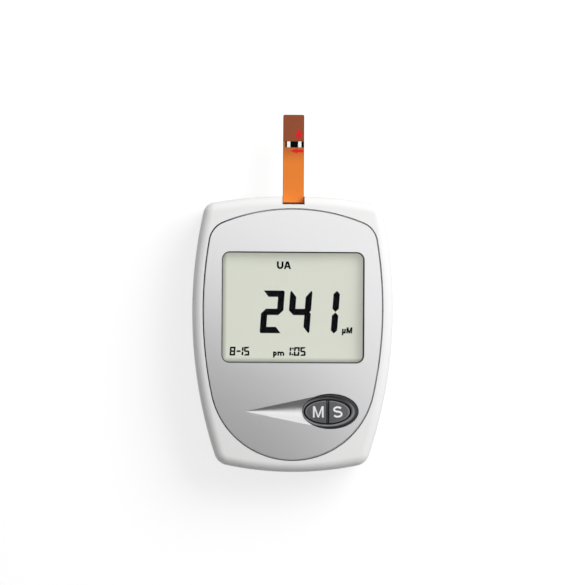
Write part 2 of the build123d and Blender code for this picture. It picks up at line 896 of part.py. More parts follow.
def contact_stud(end, y):
    """Dimple that meets the nub of a cell."""
    face = end * (bay_half_length - contact_thickness)
    tip = end * (bay_half_length - stud_room + contact_touch)
    low, high = sorted((face, tip))
    return rod(low, high, y, cell_z, stud_diameter)


def battery_bridge():
    """Contact that joins the two cells in series at the left."""
    plate = contact_plate(-1, cell_y(-1) - contact_width / 2, cell_y(1) + contact_width / 2)
    return plate + contact_leaf(-1, cell_y(-1)) + contact_stud(-1, cell_y(1))


def contact_plus():
    plate = contact_plate(1, cell_y(-1) - contact_width / 2, cell_y(-1) + contact_width / 2)
    return plate + contact_stud(1, cell_y(-1))


def contact_minus():
    plate = contact_plate(1, cell_y(1) - contact_width / 2, cell_y(1) + contact_width / 2)
    return plate + contact_leaf(1, cell_y(1))


def latch_finger():
    """U-shaped spring finger with a small nose, seen from the side."""
    leg_height = latch_arch_z - door_inset
    mid_z = door_inset + leg_height / 2
    near = Pos(latch_near_y - latch_leg / 2, mid_z) * Rectangle(latch_leg, leg_height)
    far = Pos(latch_far_y + latch_leg / 2, mid_z) * Rectangle(latch_leg, leg_height)
    arch = Circle(latch_leg + latch_bend) - Circle(latch_bend)
    arch &= Pos(0, case_depth / 2) * Rectangle(case_depth, case_depth)
    nose = Pos(latch_far_y, latch_nose_z) * Rectangle(2 * latch_nose, latch_nose_height)
    profile = near + far + Pos(latch_arch_y, latch_arch_z) * arch + nose
    return Pos(-latch_width / 2, 0, 0) * extrude(Plane.YZ * profile, latch_width)


def door_hook(side):
    """Hook that reaches over the edge of the rear shell."""
    x0, x1 = side * hook_x - hook_width / 2, side * hook_x + hook_width / 2
    stem_y = hinge_y - hook_setback
    top = hook_low + hook_thickness
    stem = block(x0, x1, stem_y - hook_stem, stem_y, door_inset + door_thickness / 2, top)
    return stem + block(x0, x1, stem_y - hook_stem, hinge_y + hook_reach, hook_low, top)


def battery_door():
    """Snap-off door: hooks at its upper edge, latch finger and grip grooves at its lower one."""
    height = door_high_y - door_low_y
    plan = RectangleRounded(2 * door_half_length, height, door_corner)
    door = prism(Pos(0, (door_low_y + door_high_y) / 2) * plan, door_inset, door_inset + door_thickness)
    door += block(-latch_width / 2, latch_width / 2, latch_near_y - latch_leg, door_low_y + over,
                  door_inset, door_inset + door_thickness)
    door += latch_finger() + door_hook(-1) + door_hook(1)
    top = door_inset + door_thickness
    door += block(-door_rib_length / 2, door_rib_length / 2, bay_y - door_rib_width / 2,
                  bay_y + door_rib_width / 2, top, top + door_rib_height)
    for step in range(grip_count):
        groove_y = door_low_y + grip_setback + step * grip_pitch
        groove = Pos(0, groove_y) * SlotOverall(grip_length, grip_width)
        door -= prism(groove, door_inset - over, door_inset + grip_depth)
    return door


# ---------------------------------------------------------------------------------------
# Code key
# ---------------------------------------------------------------------------------------


def tongue(grow, low, high):
    """Upright tongue of the code key, grown on every side."""
    half_width = tongue_width / 2 + grow
    half_height = tongue_thickness / 2 + grow
    return block(-half_width, half_width, code_y - half_height, code_y + half_height, low, high)


def code_key_body():
    """Head of the code key, flush in its recess, with grip grooves."""
    plan = Pos(0, code_y) * RectangleRounded(code_width, code_height, code_corner)
    head = prism(plan, code_inset, code_inset + code_depth)
    head -= tongue(contact_touch, code_inset + code_depth - tongue_seat, code_floor)
    for step in range(code_grip_count):
        x = (step - (code_grip_count - 1) / 2) * grip_pitch
        groove = Pos(x, code_y) * Rot(0, 0, 90) * SlotOverall(code_height / 2, grip_width)
        head -= prism(groove, code_inset - over, code_inset + grip_depth)
    return head


def code_key_board():
    """Small contact board that stands in the key and plugs into the socket."""
    return tongue(0, code_inset + code_depth - tongue_seat, tongue_top)


def code_socket():
    """Edge connector on the underside of the main board."""
    half_width, half_height = socket_width / 2, socket_height / 2
    body = block(-half_width, half_width, code_y - half_height, code_y + half_height, socket_z, board_z)
    return body - tongue(frame_gap, socket_z - over, board_z - socket_floor)


# ---------------------------------------------------------------------------------------
# Test strip and port
# ---------------------------------------------------------------------------------------


def strip_port():
    """Strip connector on the board."""
    half = port_width / 2
    body = block(-half, half, port_y, port_end_y, board_top, port_top)
    body -= block(-slot_half_width, slot_half_width, port_y + port_stop, port_end_y + over,
                  slot_low, slot_high)
    for x in finger_places():
        grow = finger_width / 2 + contact_touch
        body -= block(x - grow, x + grow, port_y - over, port_y + port_stop + over,
                      slot_high - finger_thickness - contact_touch, slot_high)
    return body


def finger_places():
    return [(step - (finger_count - 1) / 2) * finger_pitch for step in range(finger_count)]


def strip_contacts():
    """Spring fingers: along the slot's ceiling, out of the back and down to the board."""
    fingers = []
    high = slot_high - contact_touch / 2
    back_y = port_y - contact_touch - finger_thickness
    for x in finger_places():
        x0, x1 = x - finger_width / 2, x + finger_width / 2
        arm = block(x0, x1, back_y, port_y + finger_length, high - finger_thickness, high)
        arm += block(x0, x1, back_y, back_y + finger_thickness, board_top, high)
        arm += block(x0, x1, back_y - finger_foot, back_y, board_top, board_top + finger_thickness)
        fingers.append(arm)
    return fingers


def strip_base():
    """Printed carrier of the test strip."""
    length = strip_top_y - strip_inner_y
    plan = Pos(0, (strip_top_y + strip_inner_y) / 2) * RectangleRounded(strip_width, length, strip_corner)
    return prism(plan, strip_z, strip_face_z)


def strip_film():
    """Cover film over the sample end, above the reaction window."""
    low = strip_row_y + strip_row_height / 2
    plan = Pos(0, (low + strip_top_y) / 2) * Rectangle(strip_width, strip_top_y - low)
    plan = fillet(plan.vertices().group_by(Axis.Y)[-1], strip_corner)
    return prism(plan, strip_face_z, strip_face_z + strip_film_thickness)


def row_fields():
    """Fields of the reaction window from left to right: dark and white in turn."""
    half = strip_row_height / 2
    left = strip_row_margin - strip_width / 2
    fields = []
    for width in (dark_field, white_field, middle_field, white_field):
        fields.append((left, left + width))
        left += width
    fields.append((left, strip_width / 2))
    return [
        block(x0, x1, strip_row_y - half, strip_row_y + half, strip_face_z, strip_face_z + strip_ink)
        for x0, x1 in fields
    ]


def strip_pads():
    """White reagent fields."""
    return row_fields()[1::2]


def strip_electrodes():
    """Carbon: the dark fields of the reaction window and the contact tracks in the port."""
    carbon = row_fields()[0::2]
    half = strip_track_width / 2
    for step in range(strip_tracks):
        x = (step - (strip_tracks - 1) / 2) * strip_width / strip_tracks
        carbon.append(block(x - half, x + half, strip_inner_y + strip_corner,
                            strip_inner_y + strip_track_length, strip_face_z, strip_face_z + strip_ink))
    return carbon


# ---------------------------------------------------------------------------------------
# Nodes
# ---------------------------------------------------------------------------------------

nodes = {
    "front_housing": front_housing(),
    "rear_housing": rear_housing(),
    "case_screws": case_screws(),
    "front_panel": front_panel(),
    "window_lens": window_lens(),
    "lcd_gasket": lcd_gasket(),
    "lcd_glass": lcd_glass(),
    "lcd_reflector": lcd_reflector(),
    "lcd_frame": lcd_frame(),
    "zebra_strips": zebra_strips(),
    "button_collar": button_collar(),
    "button_m": key(-1),
    "button_s": key(1),
    "switch_bodies": switch_bodies(),
    "switch_plunger_m": switch_plunger(-1),
    "switch_plunger_s": switch_plunger(1),
    "main_board": main_board(),
    "board_chips": board_chips(),
    "buzzer": buzzer(),
    "battery_lower": battery(-1),
    "battery_upper": battery(1),
    "battery_terminals": battery_terminals(),
    "battery_bridge": battery_bridge(),
    "contact_plus": contact_plus(),
    "contact_minus": contact_minus(),
    "battery_door": battery_door(),
    "code_key_body": code_key_body(),
    "code_key_board": code_key_board(),
    "code_socket": code_socket(),
    "strip_port": strip_port(),
    "strip_contacts": strip_contacts(),
    "strip_base": strip_base(),
    "strip_film": strip_film(),
    "strip_pads": strip_pads(),
    "strip_electrodes": strip_electrodes(),
}

os.makedirs("parts", exist_ok=True)
for name, shape in nodes.items():
    pieces = shape if isinstance(shape, list) else [shape]
    export_step(Compound([solid for piece in pieces for solid in piece.solids()]), f"parts/{name}.step")
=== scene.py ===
import math

import bmesh
import bpy
from bpy.props import FloatProperty, FloatVectorProperty, PointerProperty, StringProperty
from bpy.types import Operator, Panel, PropertyGroup
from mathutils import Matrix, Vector
from mathutils.bvhtree import BVHTree


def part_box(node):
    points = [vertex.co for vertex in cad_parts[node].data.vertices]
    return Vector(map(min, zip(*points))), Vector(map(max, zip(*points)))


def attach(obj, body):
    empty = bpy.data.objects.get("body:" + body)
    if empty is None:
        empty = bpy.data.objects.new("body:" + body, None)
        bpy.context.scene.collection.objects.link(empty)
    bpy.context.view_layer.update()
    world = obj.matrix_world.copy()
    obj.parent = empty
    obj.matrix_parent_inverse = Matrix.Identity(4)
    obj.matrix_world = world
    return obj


bl_info = {
    "name": "Glucose Meter Dressing",
    "version": (1, 0, 0),
    "blender": (4, 5, 0),
    "location": "View3D > Sidebar > Meter",
    "description": "Finishes, display readings, key letters, strip print and studio of a blood glucose meter",
    "category": "Object",
}

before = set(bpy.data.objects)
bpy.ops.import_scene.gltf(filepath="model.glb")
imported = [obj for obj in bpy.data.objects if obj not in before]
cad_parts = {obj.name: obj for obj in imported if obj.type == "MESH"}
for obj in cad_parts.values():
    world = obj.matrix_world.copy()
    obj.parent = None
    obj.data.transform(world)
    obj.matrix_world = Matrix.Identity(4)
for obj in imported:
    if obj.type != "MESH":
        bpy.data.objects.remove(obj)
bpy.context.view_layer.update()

MM = 0.001
WHITE = (1.0, 1.0, 1.0)
# Near-black for painted shade: the display face's left and lower edge, the keys' skirts and the collar's gap.
PAINTED_SHADE_BLACK = (0.002, 0.002, 0.002)
UNLIT = (0.0, 0.0, 0.0)
EVEN = (1.0, 1.0, 1.0)

# Radii of the crowned front, across and along the case.
CROWN_ACROSS = 450 * MM
CROWN_ALONG = 600 * MM

# Printed shapes and segments: their rise over what carries them, the further rise of each shape over
# the one before, the depth of their sides below that surface, the longest step along them, and the
# distance under which two points are one.
INK_RISE = 0.02 * MM
INK_LAYER = 0.002 * MM
INK_SINK = 0.02 * MM
INK_STEP = 0.8 * MM
WELD = 1e-7

# Border of the lens that lies under the panel, and the rounding of the display's film.
LENS_LAP = 2 * MM
FILM_CORNER = 2.0 * MM
FILM_BEVEL = 0.03 * MM

# Places of the readings on the display, and the distances between small digits.
READING_X = -10.55 * MM
READING_Y = 0.25 * MM
DATE_X = -20.1 * MM
DATE_PITCH = 1.92 * MM
TIME_X = -2.3 * MM
TIME_PITCH = 1.98 * MM
TITLE_Y = 20.7 * MM
UNIT_Y = 0.3 * MM
ROW_Y = -6.95 * MM

# Size of a small digit as a share of a large one, and what its width and stroke gain on that.
SMALL = 0.207
SMALL_WIDTH = 1.22
SMALL_STROKE = 1.28

# Print on the strip.
DROP_X = 1.62 * MM
DROP_Y = 62.4 * MM
ARROW_Y = 58.46 * MM
ARROW_INSET = 0.05 * MM

# Moulded textures: width of a spot, height and roughness.
FINE = (0.2 * MM, 0.004 * MM, 0.4)
GLASS = (0.5 * MM, 0.001 * MM, 0.12)
REFLECTOR = (0.2 * MM, 0.002 * MM, 0.5)
FOAM = (0.25 * MM, 0.05 * MM, 0.85)
HOLDER = (0.3 * MM, 0.006 * MM, 0.45)
PACKAGE = (0.15 * MM, 0.003 * MM, 0.5)
CODE_KEY = (0.3 * MM, 0.006 * MM, 0.42)

# Stage: the floor, the card and the stretch of Y where its light fades, the lamp, how far up a mirror
# looks where the sky brightens, and the camera's aim and sensor, which are in millimetres.
FLOOR_RADIUS = 4.0
FLOOR_SIDES = 64
FLOOR_DROP = 0.1 * MM
CARD_HEIGHT = 0.95
CARD_CORNERS = ((-1.3, -3.0), (1.6, -3.0), (1.5, -0.50), (0.27, -0.36), (0.085, -0.06), (-1.3, 0.40))
CARD_FADE = (-0.62, -0.36)
LAMP_PLACE = (0.75, 0.65, 0.95)
SKY_BRIGHTENS = (0.75, 0.97)
CAMERA_AIM = (0.1, 13.0, 12.0)
SENSOR_WIDTH = 36.0


# ---------------------------------------------------------------------------------------
# Settings
# ---------------------------------------------------------------------------------------


def colour(name, text, value):
    """Property for a linear colour."""
    return FloatVectorProperty(
        name=name, description=text, subtype="COLOR", size=3, min=0.0, max=1.0, default=value)


def length(name, text, value):
    """Property for a length, given in millimetres."""
    return FloatProperty(
        name=name, description=text, subtype="DISTANCE", unit="LENGTH", precision=5, default=value * MM)


def factor(name, text, value, high=1.0):
    """Property for a share or a strength."""
    return FloatProperty(name=name, description=text, subtype="FACTOR", min=0.0, max=high, default=value)


def angle(name, text, degrees):
    """Property for an angle, given in degrees."""
    return FloatProperty(name=name, description=text, subtype="ANGLE", default=math.radians(degrees))


class CaseSettings(PropertyGroup):
    white: colour("White", "Moulded shells and battery door", (0.89, 0.89, 0.885))
    grain: length("Grain", "Width of one spot of the moulded texture", 0.3)
    grain_height: length("Grain height", "Height of the moulded texture", 0.004)
    roughness: factor("Roughness", "Satin of the white mouldings", 0.36)
    screw: colour("Screw", "Zinc plating of the case screws", (0.62, 0.62, 0.63))
    # Painted shade: colour of the gap's floor at the left and bottom of the silver panel.
    seam: colour("Seam", "Shadow gap at the left and bottom of the silver panel", (0.025, 0.025, 0.025))


class PanelSettings(PropertyGroup):
    silver: colour("Silver", "Brightest flakes of the silver paint", (0.925, 0.925, 0.935))
    shade: colour("Shade", "Darkest flakes of the silver paint", (0.90, 0.90, 0.91))
    flake: length("Flake", "Width of one flake in the paint", 0.15)
    roughness: factor("Roughness", "Blur of the silver paint", 0.31)
    metal: factor("Metal", "Share of metal in the paint", 0.86)


class DisplaySettings(PropertyGroup):
    face: colour("Face", "Grey-green face of the display", (0.40, 0.403, 0.36))
    # Painted light: the face's glow, given as a backlight, lifts the display evenly, also where it lies in
    # shade.
    glow: colour("Glow", "Light that the display's backlight adds", (0.369, 0.372, 0.330))
    ink: colour("Ink", "Dark segments", (0.004, 0.004, 0.006))
    margin: length("Margin", "Gap between the window's edge and the display face", 0.40)
    film: length("Film", "Thickness of the polariser", 0.12)
    # Painted shade: width and depth of the darker left and lower edge of the display face.
    fade: length("Fade", "Width of the darker left and lower edge of the display face", 1.6)
    edge_shade_depth: factor("Fade depth", "How dark those edges are at their end", 0.42)
    digit_width: length("Digit width", "Width of a large digit before its slant", 7.05)
    digit_height: length("Digit height", "Height of a large digit", 13.6)
    digit_stroke: length("Digit stroke", "Thickness of a large segment", 2.02)
    digit_pitch: length("Digit pitch", "Distance between large digits", 8.82)
    slant: angle("Slant", "Lean of the segments", 4.0)
    reading: StringProperty(name="Reading", description="Large digits", default="241")
    date: StringProperty(name="Date", description="Small digits at the left", default="8-15")
    time: StringProperty(name="Time", description="Small digits in the middle", default="1:05")


class KeySettings(PropertyGroup):
    cap: colour("Cap", "Speckled grey of the two keys", (0.10, 0.10, 0.104))
    collar: colour("Collar", "Dark grey of the collar", (0.022, 0.022, 0.024))
    # Painted highlight: the lighter colour of the collar's bevel round the keys.
    bevel: colour("Bevel", "Lighter bevel of the collar round the keys", (0.30, 0.30, 0.31))
    opening_length: length("Opening length", "Half the length of the opening in the collar", 7.6)
    opening_width: length("Opening width", "Half the width of the opening in the collar", 4.05)
    # The gap's black, on the collar and on the keys' skirts, is painted shade.
    gap: length("Gap", "Black gap between the keys and the collar", 0.45)
    letter: colour("Letter", "White print on the keys", (0.93, 0.93, 0.93))
    letter_height: length("Letter height", "Height of the letters on the keys", 3.58)
    stroke: length("Letter stroke", "Thickness of the letters' strokes", 0.56)
    speckle: length("Speckle", "Width of one speck", 0.22)


class StripSettings(PropertyGroup):
    orange: colour("Orange", "Carrier of the test strip", (0.83, 0.225, 0.03))
    brown: colour("Brown", "Cover film of the test strip", (0.27, 0.062, 0.018))
    red: colour("Red", "Drop and arrow", (0.78, 0.015, 0.02))
    drop_height: length("Drop height", "Height of the printed drop", 3.35)
    drop_radius: length("Drop radius", "Radius of the printed drop's round end", 0.95)
    arrow_length: length("Arrow length", "Length of the printed arrow", 4.45)


class InsideSettings(PropertyGroup):
    mask: colour("Solder mask", "Green of the boards", (0.012, 0.115, 0.035))
    nickel: colour("Nickel", "Plating of the battery contacts", (0.66, 0.64, 0.60))
    gold: colour("Gold", "Plating of the strip contacts", (0.78, 0.52, 0.20))
    jacket: colour("Jacket", "Sleeve of the cells", (0.022, 0.024, 0.028))
    band: colour("Band", "Band round the positive end of each cell", (0.60, 0.33, 0.10))
    black: colour("Black", "Black mouldings", (0.018, 0.018, 0.019))


class StageSettings(PropertyGroup):
    lamp_power: FloatProperty(name="Lamp", description="Power of the soft lamp", unit="POWER", default=17.3)
    lamp_side: length("Lamp side", "Side of the soft lamp", 900)
    sky: factor("Sky", "Strength of the surrounding light", 0.46, 2.0)
    rim: factor("Sky rim", "Brightness of the low part of the sky in mirrors", 0.80)
    card: factor("Card", "Brightness of the card's near part", 0.165)
    floor: colour("Floor", "Pale floor as other surfaces see it", (0.30, 0.30, 0.30))
    lift: factor("Floor lift", "Light that the camera sees on the floor beyond what falls on it", 0.76)
    roll: angle("Camera roll", "How far the camera is turned about its own axis", 0.35)
    turn: angle("Camera turn", "How far the camera stands to the left", 2.0)
    distance: length("Camera distance", "From the display", 1200)
    span: length("Camera span", "Width seen at the display", 187.5)


GROUPS = {
    "meter_case": CaseSettings,
    "meter_panel": PanelSettings,
    "meter_display": DisplaySettings,
    "meter_keys": KeySettings,
    "meter_strip": StripSettings,
    "meter_inside": InsideSettings,
    "meter_stage": StageSettings,
}


# ---------------------------------------------------------------------------------------
# Shader expressions
# ---------------------------------------------------------------------------------------


class Value:
    """Number in a material; sums and products with it add Math nodes."""

    def __init__(self, finish, socket):
        self.finish = finish
        self.socket = socket

    def math(self, operation, *operands):
        """Math node with the operands in their order."""
        return self.finish.node("ShaderNodeMath", {"operation": operation}, dict(enumerate(operands)))

    def __add__(self, other):
        return self.math("ADD", self, other)

    def __radd__(self, other):
        return self.math("ADD", other, self)

    def __sub__(self, other):
        return self.math("SUBTRACT", self, other)

    def __rsub__(self, other):
        return self.math("SUBTRACT", other, self)

    def __mul__(self, other):
        return self.math("MULTIPLY", self, other)

    def __rmul__(self, other):
        return self.math("MULTIPLY", other, self)

    def __truediv__(self, other):
        return self.math("DIVIDE", self, other)

    def __pow__(self, other):
        return self.math("POWER", self, other)

    def __abs__(self):
        return self.math("ABSOLUTE", self)

    def maximum(self, other):
        """The larger of two numbers."""
        return self.math("MAXIMUM", self, other)

    def above(self, low, high):
        """0 below the low value, 1 above the high one, and smooth between them."""
        return self.finish.node(
            "ShaderNodeMapRange",
            {"interpolation_type": "SMOOTHSTEP"},
            {"Value": self, "From Min": low, "From Max": high},
        )


class Finish:
    """Material or world whose nodes are added by type, with settings first and then inputs."""

    def __init__(self, name, owner=None):
        self.owner = owner or bpy.data.materials.new(name)
        self.owner.use_nodes = True
        self.tree = self.owner.node_tree
        self.tree.nodes.clear()

    def node(self, kind, settings=None, inputs=None, out=0):
        """Output of a new node; settings and inputs are by name, or inputs by their place."""
        made = self.tree.nodes.new(kind)
        for name, value in (settings or {}).items():
            setattr(made, name, value)
        for name, value in (inputs or {}).items():
            if isinstance(value, Value):
                self.tree.links.new(value.socket, made.inputs[name])
            else:
                made.inputs[name].default_value = value
        return Value(self, made.outputs[out])

    def spot(self, kind="Object"):
        """Point on the piece in metres, or its Normal there."""
        return self.node("ShaderNodeTexCoord", out=kind)

    def along(self, axis, kind="Object"):
        """X, Y or Z of the point on the piece in metres, or of its Normal there."""
        return self.node("ShaderNodeSeparateXYZ", None, {"Vector": self.spot(kind)}, axis)

    def noise(self, width, detail=2.0, stretch=EVEN):
        """Soft noise from 0 to 1 with spots about that wide, drawn out by the stretch."""
        scale = [1.0 / (width * part) for part in stretch]
        spot = self.node("ShaderNodeVectorMath", {"operation": "MULTIPLY"}, {0: self.spot(), 1: scale})
        return self.node("ShaderNodeTexNoise", None, {"Vector": spot, "Scale": 1.0, "Detail": detail})

    def cells(self, width):
        """Even random number from 0 to 1 for each small cell."""
        inputs = {"Vector": self.spot(), "Scale": 1.0 / width}
        tint = self.node("ShaderNodeTexVoronoi", None, inputs, "Color")
        return self.node("ShaderNodeSeparateColor", None, {"Color": tint}, "Red")

    def ray(self, kind):
        """1 for light that is traced for that purpose."""
        return self.node("ShaderNodeLightPath", out=f"Is {kind} Ray")

    def seen(self):
        """1 for what the camera sees directly, in a mirror or through glass."""
        return self.ray("Camera").maximum(self.ray("Glossy")).maximum(self.ray("Transmission"))

    def blend(self, share, first, second):
        """Colour between two others; the numbers are the places of the node's colour sockets."""
        inputs = {0: share, 6: rgba(first), 7: rgba(second)}
        return self.node("ShaderNodeMix", {"data_type": "RGBA"}, inputs, 2)

    def bump(self, height, rise):
        """Normal of a surface whose height, from 0 to 1, stands for that rise in metres."""
        return self.node("ShaderNodeBump", None, {"Strength": 1.0, "Distance": rise, "Height": height})

    def surface(self, **inputs):
        """Principled shader; a word's underscore stands for a space in its input's name."""
        named = {word.replace("_", " "): value for word, value in inputs.items()}
        named["Base Color"] = rgba(named["Base Color"])
        return self.node("ShaderNodeBsdfPrincipled", None, named)

    def end(self, shader, kind="ShaderNodeOutputMaterial"):
        """The material or world, with that shader as its surface."""
        output = self.tree.nodes.new(kind)
        self.tree.links.new(shader.socket, output.inputs["Surface"])
        return self.owner

    def plain(self, **inputs):
        """The material, with one principled shader as its surface."""
        return self.end(self.surface(**inputs))


def rgba(tint):
    """Colour with an alpha of 1, or a linked one as it is."""
    return tint if isinstance(tint, Value) else (*tint[:3], 1.0)


def toned(tint, share):
    """Colour made darker, or lighter where the share is over 1."""
    return [part * share for part in tint]


def around(level, spread, noise):
    """Number that noise from 0 to 1 moves up and down by half of the spread."""
    return level + spread * (noise - 0.5)


# ---------------------------------------------------------------------------------------
# Mesh helpers
# ---------------------------------------------------------------------------------------


def in_scene(name, data):
    """Object that shows a mesh, lamp or camera."""
    made = bpy.data.objects.new(name, data)
    bpy.context.scene.collection.objects.link(made)
    return made


def mesh_from(form, name):
    """Mesh of a form, which is freed."""
    mesh = bpy.data.meshes.new(name)
    form.to_mesh(mesh)
    form.free()
    return mesh


def add_piece(name, mesh, finish, body):
    """Object that rides on a body."""
    mesh.materials.append(finish)
    piece = in_scene(name, mesh)
    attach(piece, body)


def dress(finish, *names):
    """Gives carried-over nodes their material."""
    for name in names:
        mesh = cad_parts[name].data
        mesh.materials.clear()
        mesh.materials.append(finish)


def resting_on(name):
    """Height of the top of a node over a plan point."""
    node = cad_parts[name]
    tree = BVHTree.FromObject(node, bpy.context.evaluated_depsgraph_get())

    def height(x, y):
        hit = tree.ray_cast(Vector((x, y, 1.0)), Vector((0, 0, -1)))[0]
        if hit is None:
            raise RuntimeError(f"a mark at {x:.4f}, {y:.4f} misses {name}")
        return hit.z

    return height


def refined(rows, step):
    """Rows of a shape with more between those that lie further apart than the step."""
    made = [rows[0]]
    for before, after in zip(rows, rows[1:]):
        reach = max((after[side] - before[side]).length for side in (0, 1))
        count = max(1, math.ceil(reach / step))
        made += [
            tuple(before[side].lerp(after[side], part / count) for side in (0, 1))
            for part in range(1, count + 1)
        ]
    return made


def ink_mesh(name, shapes, height, sink=INK_SINK, step=INK_STEP):
    """Thin solid shapes on a surface whose height is known over each plan point.

    Each shape is rows of left and right points, and a closed one repeats its first row.
    """
    form = bmesh.new()
    for order, shape in enumerate(shapes):
        rows = refined([(Vector(a), Vector(b)) for a, b in shape], step)
        top = INK_RISE + INK_LAYER * order
        high = [[form.verts.new((p.x, p.y, height(p.x, p.y) + top)) for p in row] for row in rows]
        low = [[form.verts.new((p.x, p.y, height(p.x, p.y) - sink)) for p in row] for row in rows]
        for index in range(len(rows) - 1):
            (a, b), (c, d) = high[index], high[index + 1]
            (e, f), (g, h) = low[index], low[index + 1]
            for face in ((a, b, d, c), (f, e, g, h), (a, c, g, e), (d, b, f, h)):
                form.faces.new(face)
        for index in (0, -1):
            (a, b), (e, f) = high[index], low[index]
            form.faces.new((a, e, f, b))
    bmesh.ops.remove_doubles(form, verts=form.verts, dist=WELD)
    bmesh.ops.recalc_face_normals(form, faces=form.faces)
    return mesh_from(form, name)


def moved(shapes, x, y, slant=0.0):
    """Shapes slanted about their base line and put in place."""
    lean = math.tan(slant)
    return [
        [tuple((x + (px + lean * py), y + py) for px, py in row) for row in shape]
        for shape in shapes
    ]


# ---------------------------------------------------------------------------------------
# Segments, letters and strip print, on a base line at zero
# ---------------------------------------------------------------------------------------


SEGMENTS_OF = {"0": "abcdef", "1": "BC", "2": "abged", "4": "fgbc", "5": "afgcd", "8": "abcdefg", "-": "g"}

# Share of a digit's pitch that a colon or dash takes, and shares of its height for a colon's dots.
NARROW = 0.34
COLON_LEVELS = (0.06, 0.74)

# Shares of a capital's height: a small letter, and the end of a tail below the base line.
SMALL_LETTER = 0.74
TAIL = -0.3


def segments(width, height, stroke):
    """Shapes of the seven segments and of the two long bars of a one."""
    half, middle = stroke / 2, height / 2
    lip, nib = stroke / 6, stroke / 4
    top = [
        ((lip, height), (stroke, height - stroke)),
        ((width - lip, height), (width - stroke, height - stroke)),
    ]
    right = [
        ((width - lip, height), (width - lip, height)),
        ((width - stroke, height - stroke), (width, height - nib)),
        ((width - stroke, middle + half), (width, middle + nib)),
        ((width - nib, middle), (width - nib, middle)),
    ]
    bar = [
        ((nib, middle), (nib, middle)),
        ((nib + half, middle + half), (nib + half, middle - half)),
        ((width - nib - half, middle + half), (width - nib - half, middle - half)),
        ((width - nib, middle), (width - nib, middle)),
    ]
    long_bar = [
        ((width - half, height), (width - half, height)),
        ((width - stroke, height - half), (width, height - half)),
        ((width - stroke, middle + half + lip / 4), (width, middle + half + lip / 4)),
        ((width - half, middle + lip / 4), (width - half, middle + lip / 4)),
    ]

    def flip(shape, across, up):
        return [tuple((width - x if across else x, height - y if up else y) for x, y in row) for row in shape]

    return {
        "a": top, "b": right, "c": flip(right, False, True), "d": flip(top, False, True),
        "e": flip(right, True, True), "f": flip(right, True, False), "g": bar,
        "B": long_bar, "C": flip(long_bar, False, True),
    }


def digits(text, x, y, width, height, stroke, pitch, slant):
    """Shapes of a row of digits, among them a colon or a dash."""
    shapes = []
    form = segments(width, height, stroke)
    for letter in text:
        if letter == ":":
            dot = [((0, 0), (stroke, 0)), ((0, stroke), (stroke, stroke))]
            for share in COLON_LEVELS:
                level = height * share
                shapes += moved([dot], x + level * math.tan(slant), y + level)
        else:
            shapes += moved([form[part] for part in SEGMENTS_OF[letter]], x, y, slant)
        x += pitch * (NARROW if letter in ":-" else 1.0)
    return shapes


def slab(x0, y0, x1, y1, width):
    """Straight stroke whose ends are cut level."""
    wide = width * math.hypot(x1 - x0, y1 - y0) / abs(y1 - y0) / 2
    return [((x0 - wide, y0), (x0 + wide, y0)), ((x1 - wide, y1), (x1 + wide, y1))]


def ribbon(points, width):
    """Stroke of even width along a line of points, with mitred corners up to a limit."""
    mitre_limit = 0.4
    line = [Vector(point) for point in points]
    closed = (line[0] - line[-1]).length < WELD
    rows = []
    for index, point in enumerate(line):
        before = line[index - 1] if index else (line[-2] if closed else None)
        after = line[index + 1] if index + 1 < len(line) else (line[1] if closed else None)
        steps = ((before, point), (point, after))
        ways = [(b - a).normalized() for a, b in steps if a is not None and b is not None]
        way = sum(ways, Vector((0, 0))).normalized()
        across = Vector((-way.y, way.x)) * (width / 2 / max(way.dot(ways[0]), mitre_limit))
        rows.append((tuple(point + across), tuple(point - across)))
    return rows


def arc(x, y, across, up, start, end, count):
    """Points on part of an ellipse in that many steps, with angles in degrees."""
    return [
        (x + across * math.cos(math.radians(turn)), y + up * math.sin(math.radians(turn)))
        for turn in (start + (end - start) * step / count for step in range(count + 1))
    ]


def cup(width, height, stroke, count):
    """Stroke of a U, whose bowl has that many steps."""
    edge = stroke / 2
    bend = width / 2 - edge
    bowl = arc(width / 2, width / 2, bend, bend, 180, 360, count)
    return ribbon([(edge, height)] + bowl + [(width - edge, height)], stroke)


def letter_m(height, stroke):
    """Capital M."""
    width = 0.95 * height
    edge = stroke / 2
    start, arm = stroke * 0.75, stroke * 0.8
    return [
        slab(edge, 0, edge, height, stroke),
        slab(width - edge, 0, width - edge, height, stroke),
        slab(start, height, width / 2, 0, arm),
        slab(width - start, height, width / 2, 0, arm),
    ]


def letter_s(height, stroke):
    """Capital S, from an upper and a larger lower bowl."""
    width = 0.86 * height
    edge = stroke / 2
    upper = height * 0.235
    lower = height * 0.265
    half = width / 2 - edge
    top = arc(width / 2, height - edge - (upper - edge / 2), half * 0.93, upper - edge / 2, 28, 262, 18)
    bottom = arc(width / 2, edge + lower - edge / 2, half, lower - edge / 2, 82, -152, 18)
    return [ribbon(top + bottom, stroke)]


def letter_u(height, stroke):
    """Capital U."""
    return [cup(0.86 * height, height, stroke, 14)]


def letter_a(height, stroke):
    """Capital A."""
    width = 0.98 * height
    foot, tip, leg = stroke * 0.55, stroke * 0.15, stroke * 0.95
    left, right = width * 0.24, width * 0.76
    low = height * 0.22
    high = low + stroke * 0.8
    return [
        slab(foot, 0, width / 2 - tip, height, leg),
        slab(width - foot, 0, width / 2 + tip, height, leg),
        [((left, low), (left, high)), ((right, low), (right, high))],
    ]


def letter_micro(height, stroke):
    """Small mu."""
    width = 0.62 * height
    small = SMALL_LETTER * height
    edge = stroke / 2
    return [
        cup(width, small, stroke, 8),
        slab(edge, TAIL * height, edge, small * 0.7, stroke),
        slab(width - edge, 0, width - edge, small * 0.6, stroke),
    ]


def letter_p(height, stroke):
    """Small p."""
    width = 0.66 * height
    small = SMALL_LETTER * height
    edge = stroke / 2
    bowl = arc(width / 2, small / 2, width / 2 - edge, small / 2 - edge, 0, 360, 20)
    return [slab(edge, TAIL * height, edge, small, stroke), ribbon(bowl, stroke)]


